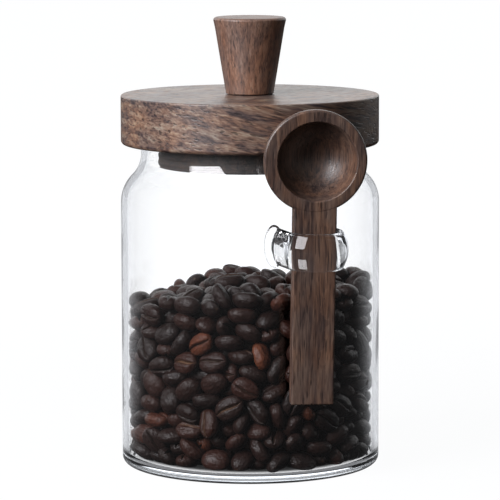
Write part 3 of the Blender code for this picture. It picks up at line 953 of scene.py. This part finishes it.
def make_beans(places, coffee):
    """Join a finely shaped bean at every place into a few pieces."""
    darkest, tone_range, paler, trace = 0.15, 0.45, 0.42, 0.15
    rng = random.Random(19)
    kinds = [bean_shape(rng) for _ in range(BEAN_KINDS)]
    beans = [(rng.choice(kinds), rng.random(), rng.random(), place) for place in places]
    lift = Matrix.Translation((0.0, 0.0, BEAN_BACK - BEAN_BELLY))
    over = lift @ Matrix.Rotation(pi, 4, "X")
    for i, (kind, first, second, place) in enumerate(beans):
        back_out = (place.to_3x3() @ Vector((0.0, 0.0, 1.0))).dot(place.translation) > 0.0
        if back_out and rng.random() < TURNED_OVER:
            beans[i] = (kind, first, second, place @ over)
    share = PIECE_TRIANGLES // (2 * len(kinds[0][1]))
    pieces = []
    for start in range(0, len(beans), share):
        corners, faces, tone, crease, chaff, local = [], [], [], [], [], []
        count = 0
        for (points, polygons, mask), first, second, place in beans[start:start + share]:
            turn = np.array(place.to_3x3().normalized())
            corners.append(points @ turn.T + np.array(place.translation))
            faces += [tuple(count + i for i in polygon) for polygon in polygons]
            level = darkest + tone_range * first + (paler if second > PALE_OVER else 0.0)
            tone.append(np.full(len(points), level))
            crease.append(mask)
            chaff.append(np.full(len(points), 1.0 if second < CHAFF_UNDER else trace))
            local.append(points + np.array((first, second, first * second)))
            count += len(points)
        name = "poured_beans_" + "abcdefgh"[len(pieces)]
        mesh = bpy.data.meshes.new(name)
        mesh.from_pydata(np.concatenate(corners).tolist(), [], faces)
        for title, values in (("bean_tone", tone), ("bean_crease", crease),
                              ("bean_chaff", chaff)):
            attribute = mesh.attributes.new(title, "FLOAT", "POINT")
            attribute.data.foreach_set("value", np.concatenate(values).astype(np.float32))
        attribute = mesh.attributes.new("bean_place", "FLOAT_VECTOR", "POINT")
        attribute.data.foreach_set("vector",
                                   np.concatenate(local).astype(np.float32).ravel())
        mesh.shade_smooth()
        mesh.materials.append(coffee)
        pieces.append(new_object(name, mesh))
    return pieces


def make_core(dark):
    """The heap's unseen middle, under at least two layers of beans."""
    inset, sides = 0.0004, 64
    r, low = CORE_R - inset, BASE_THICKNESS + 2 * GAP
    outline = [(0.0, CORE_TOP - inset), (CORE_FLAT * r, CORE_TOP - inset),
               (r, CORE_SIDE * CORE_TOP), (r, low), (0.0, low)]
    return lathe("heap_core", outline, sides, dark)


# ---------- stage
def make_camera():
    """A long lens a little above the lid, looking slightly down along +Y."""
    sensor, lens = 36.0, 237.2    # millimetres
    distance = 1.28001
    look = Vector((-0.00006, 0.0, 0.08298))
    elevation, roll = radians(7.3795), radians(-0.128)
    forward = Vector((0.0, cos(elevation), -sin(elevation)))
    right = Vector((1.0, 0.0, 0.0))
    up = right.cross(forward)
    tilted_right = right * cos(roll) + up * sin(roll)
    tilted_up = up * cos(roll) - right * sin(roll)
    data = bpy.data.cameras.new("camera")
    data.sensor_width = sensor
    data.lens = lens
    camera = new_object("camera", data)
    turn = Matrix((tilted_right, tilted_up, -forward)).transposed().to_4x4()
    camera.matrix_world = Matrix.Translation(look - forward * distance) @ turn
    bpy.context.scene.camera = camera


def make_key_light():
    """A rectangular lamp that faces the canister from the front left."""
    bearing, elevation, distance = radians(-48), radians(27), 1.0
    middle = Vector((0.0, 0.0, 0.09))
    data = bpy.data.lights.new("key", "AREA")
    data.shape = "RECTANGLE"
    data.size, data.size_y = 0.62, 0.66
    data.energy = 15.0
    data.color = (0.98, 0.97, 1.0)
    lamp = new_object("key", data)
    away = Vector((sin(bearing) * cos(elevation), -cos(bearing) * cos(elevation),
                   sin(elevation)))
    lamp.location = middle + away * distance
    lamp.rotation_mode = "QUATERNION"
    lamp.rotation_quaternion = away.to_track_quat("Z", "Y")


def studio_white(g, path, behind, once_bright):
    """Brightness of the white surroundings for rays that have only met clear pieces.

    Straight through the glass it is white all round. In the glass's own reflections
    only what lies behind the canister is bright.
    """
    seen_bare, seen_through_glass = 1.0, 1.25
    once_dim, often_dim, often_bright = 0.04, 0.08, 1.90
    once = g.maths("MULTIPLY_ADD", behind, once_bright, once_dim)
    often = g.maths("MULTIPLY_ADD", behind, often_bright, often_dim)
    bounced = g.maths("GREATER_THAN", path["Glossy Depth"], 0.5)
    again = g.maths("GREATER_THAN", path["Glossy Depth"], 1.5)
    straight = g.level(path["Is Camera Ray"], seen_through_glass, seen_bare)
    return g.level(bounced, straight, g.level(again, once, often))


def studio_tint(g, path):
    """White, which the glass's reflections cool a little."""
    bounced = g.maths("GREATER_THAN", path["Glossy Depth"], 0.5)
    cooled = g.maths("MULTIPLY", bounced, path["Is Singular Ray"])
    return g.mixed(cooled, (0.99, 0.995, 1.0), (0.965, 0.985, 1.025))


def clear_ray(g, path):
    """1 for a ray from the camera that has met nothing but clear pieces."""
    through = g.maths("MAXIMUM", path["Is Camera Ray"], path["Is Transmission Ray"])
    return g.maths("MAXIMUM", through, path["Is Singular Ray"])


def make_world():
    """White behind everything, a soft bright backdrop in mirrors, dim light elsewhere."""
    g = Graph(bpy.data.worlds.new("studio"), "OutputWorld")
    path = g.node("LightPath").outputs
    direction = g.out("TexCoord", output="Generated")
    aside = g.out("SeparateXYZ", {"Vector": direction}, "Y")
    behind = g.spread(aside, *BEHIND)
    sheen = g.spread(aside, 0.0, 0.80, 0.16, 1.35)
    front_fill = g.spread(aside, -0.9, -0.3, 0.12, 0.0)
    sheen = g.maths("ADD", sheen, front_fill)
    scattered = g.maths("MULTIPLY_ADD", behind, 0.20, 0.10)
    level = g.level(path["Is Glossy Ray"], scattered, sheen)
    level = g.level(clear_ray(g, path), level, studio_white(g, path, behind, WORLD_ONCE))
    back = g.out("Background", {"Color": studio_tint(g, path), "Strength": level})
    bpy.context.scene.world = g.finish(back)


def make_floor():
    """A plain pale floor that glows white, with painted shade that greys it near the jar and
    a painted shadow that darkens it under the jar.
    """
    g = material_graph("pale_floor")
    path = g.node("LightPath").outputs
    place = g.place()
    reach = g.out("VectorMath", {0: place}, "Value", operation="LENGTH")
    aside = g.out("SeparateXYZ", {"Vector": place}, "Y")
    # Painted light: in the glass's reflections the floor glows brighter behind the jar and in
    # a ring round its foot.
    behind = g.spread(g.maths("DIVIDE", g.maths("ADD", aside, 0.02), reach), *BEHIND)
    # Each spread is from one distance to another, and from one brightness to another.
    painted_glow_round_foot = g.spread(reach, 0.055, 0.075, 0.35, 0.0)
    behind = g.maths("MAXIMUM", behind, painted_glow_round_foot)
    # Painted shade: the floor's glow dims a little near the jar.
    near = g.spread(reach, 0.12, 0.60, 0.975, 1.0)
    # Painted shadow: the floor's glow falls almost to nothing under the jar.
    under = g.spread(reach, 0.037, 0.0465, 0.04, 1.0)
    seen = g.maths("MULTIPLY", near, studio_white(g, path, behind, FLOOR_ONCE))
    seen = g.maths("MULTIPLY", seen, under)
    glow = g.out("Emission", {"Color": studio_tint(g, path), "Strength": seen})
    soft = g.out("BsdfDiffuse", {"Color": (0.04, 0.04, 0.04, 1.0)})
    both = g.out("AddShader", {0: glow, 1: soft})
    dull = g.out("BsdfDiffuse", {"Color": (0.025, 0.025, 0.025, 1.0)})
    finish = g.finish(g.blend(clear_ray(g, path), dull, both))
    half_size, drop = 6.0, 0.0001
    shape = bmesh.new()
    bmesh.ops.create_grid(shape, x_segments=2, y_segments=2, size=half_size)
    floor = object_from("floor", shape)
    floor.location.z = -drop
    floor.data.materials.append(finish)


def make_stage():
    """Camera, surroundings, floor, lamp and render limits."""
    make_camera()
    make_world()
    make_floor()
    make_key_light()
    scene = bpy.context.scene
    scene.view_settings.view_transform = "Standard"
    scene.cycles.max_bounces = 28
    scene.cycles.transmission_bounces = 26
    scene.cycles.transparent_max_bounces = 24
    scene.cycles.caustics_reflective = False
    scene.cycles.caustics_refractive = False


# ---------- assembly
def settle(piece, body, slot, *nodes):
    """Say which body a piece rides on and the CAD nodes it stands for; its slot is not used.
    """
    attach(piece, body)
    if nodes:
        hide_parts(*nodes)


def main():
    """Make every piece and say where it belongs."""
    make_stage()
    disc_wood = wood_material(
        "disc_wood", (radians(5), radians(-12), radians(-12)),
        [(0.035, 0.024, 0.024), (0.090, 0.055, 0.047), (0.165, 0.098, 0.070),
         (0.235, 0.155, 0.110), (0.320, 0.250, 0.185)],
        pith=(0.0, 0.055, 0.030), ring_pitch=0.0052, figure=0.004,
        shade=(0.32, 0.46), patchy=0.55, flat=3.2)
    # Painted shade: the plug's tones are darker than the disc's, for the shade under the
    # disc.
    plug_wood = wood_material(
        "plug_wood", (0.0, 0.0, radians(70)),
        [(0.020, 0.015, 0.014), (0.055, 0.036, 0.028), (0.105, 0.066, 0.046)],
        pith=(0.0, 0.030, 0.050), ring_pitch=0.0045, figure=0.004)
    knob_wood = wood_material(
        "knob_wood", (0.0, radians(90), 0.0),
        [(0.070, 0.040, 0.033), (0.150, 0.085, 0.062), (0.220, 0.120, 0.080),
         (0.290, 0.180, 0.130)],
        pith=(0.0, 0.040, 0.012), ring_pitch=0.0048, figure=0.002,
        coarse=0.6, shade=(0.36, 0.52), patchy=0.45)
    scoop_wood = wood_material(
        "scoop_wood", (0.0, radians(90), 0.0),
        [(0.034, 0.020, 0.018), (0.079, 0.046, 0.035), (0.130, 0.076, 0.053),
         (0.196, 0.120, 0.082)],
        pith=(0.0, 0.050, 0.018), ring_pitch=0.0040, figure=0.0015,
        coarse=0.7, shade=(0.34, 0.50), patchy=0.60)
    coffee = bean_material()

    settle(make_jar(glass_material()), "jar", "glass", "glass_jar", "scoop_loop")
    settle(make_disc(disc_wood), "lid", "disc_wood", "lid_disc")
    settle(make_plug(plug_wood), "lid", "plug_wood", "lid_plug")
    settle(make_seal(silicone_material()), "lid", "silicone", "seal_ring")
    settle(make_knob(knob_wood), "lid", "knob_wood", "knob")
    settle(make_scoop(scoop_wood), "scoop", "scoop_wood", "scoop")
    places = pour()
    for piece in make_beans(shown_beans(places), coffee):
        settle(piece, "jar", "coffee", "coffee_beans")
    settle(make_core(core_shade_material()), "jar", "coffee")
    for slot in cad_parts["knob_screw"].material_slots:
        slot.material = steel_material()


main()
